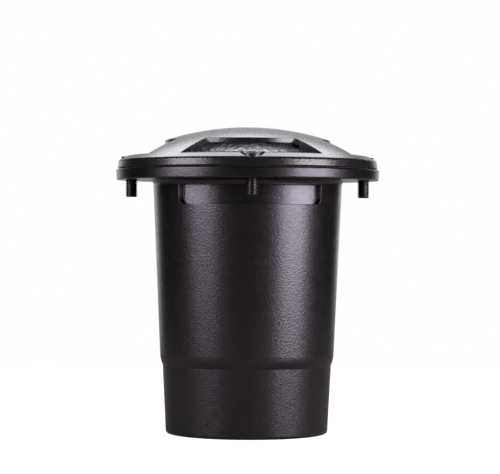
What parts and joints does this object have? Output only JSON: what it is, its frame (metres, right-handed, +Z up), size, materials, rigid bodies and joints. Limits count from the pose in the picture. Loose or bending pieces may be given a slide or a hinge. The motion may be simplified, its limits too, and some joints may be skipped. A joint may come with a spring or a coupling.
{
  "type": "in ground well light",
  "caption": "Cast in-ground well light with a low domed cover, side windows over a convex lens, and an aimable low-voltage lamp inside.",
  "frame": {"origin": "centre of the flat base of the housing", "axes": "+Z up along the housing's axis; -Y towards the front window; cover screws on the X and Y axes"},
  "size_m": [0.1716, 0.1716, 0.1994],
  "materials": {
    "housing_coat": "black powder coat over cast aluminium, fine orange-peel grain",
    "cover_coat": "black powder coat over cast aluminium, satin",
    "gasket_rubber": "black sponge rubber",
    "lens_rubber": "grey silicone",
    "lens_glass": "clear pressed glass, slightly wavy, fire polished",
    "screw_steel": "black oxide stainless steel, rolled thread",
    "zinc_steel": "bright zinc plated steel sheet",
    "small_screws": "bright zinc plated steel",
    "ring_metal": "die cast aluminium, fine matte",
    "spring_steel": "bright spring steel wire",
    "reflector_mirror": "aluminised faceted glass",
    "lamp_glass": "clear polished glass",
    "ceramic": "off-white glazed ceramic",
    "pin_metal": "bright nickel wire",
    "terminal_plastic": "moulded polyamide",
    "terminal_brass": "plated brass",
    "ground_green": "green passivated steel"
  },
  "bodies": {
    "well": {"housing": "housing_coat", "cover_gasket": "gasket_rubber", "lens_gasket": "lens_rubber", "cross_strap": "zinc_steel", "strap_screws": "small_screws", "terminal_block": "terminal_plastic", "terminal_screws": "terminal_brass", "block_screw": "small_screws", "ground_screw": "ground_green"},
    "cover": {"top_cover": "cover_coat", "glass_lens": "lens_glass", "lens_seal": "lens_rubber", "cover_screws": "screw_steel", "cover_screw_washers": "screw_steel"},
    "swivel": {"yoke": "zinc_steel", "swivel_washer": "small_screws", "spring_washer": "spring_steel", "swivel_screw": "small_screws", "swivel_nut": "small_screws"},
    "lamp": {"lamp_ring": "ring_metal", "pivot_screws": "small_screws", "pivot_washers": "small_screws", "lamp_reflector": "reflector_mirror", "lamp_front_glass": "lamp_glass", "lamp_base": "ceramic", "lamp_capsule": "lamp_glass", "lamp_pins": "pin_metal", "retaining_ring": "spring_steel", "lamp_socket": "ceramic", "socket_bracket": "zinc_steel", "bracket_screws": "small_screws", "socket_screw": "small_screws"}
  },
  "joints": [
    {"name": "cover_lift", "type": "slide", "parent": "well", "child": "cover", "axis": [0, 0, 1], "range_m": [0, 0.08]},
    {"name": "lamp_swivel", "type": "hinge", "parent": "well", "child": "swivel", "pos_m": [0, 0, 0.0725], "axis": [0, 0, 1], "continuous": true},
    {"name": "lamp_tilt", "type": "hinge", "parent": "swivel", "child": "lamp", "pos_m": [0, 0, 0.136], "axis": [1, 0, 0], "range_deg": [-25, 25]}
  ]
}
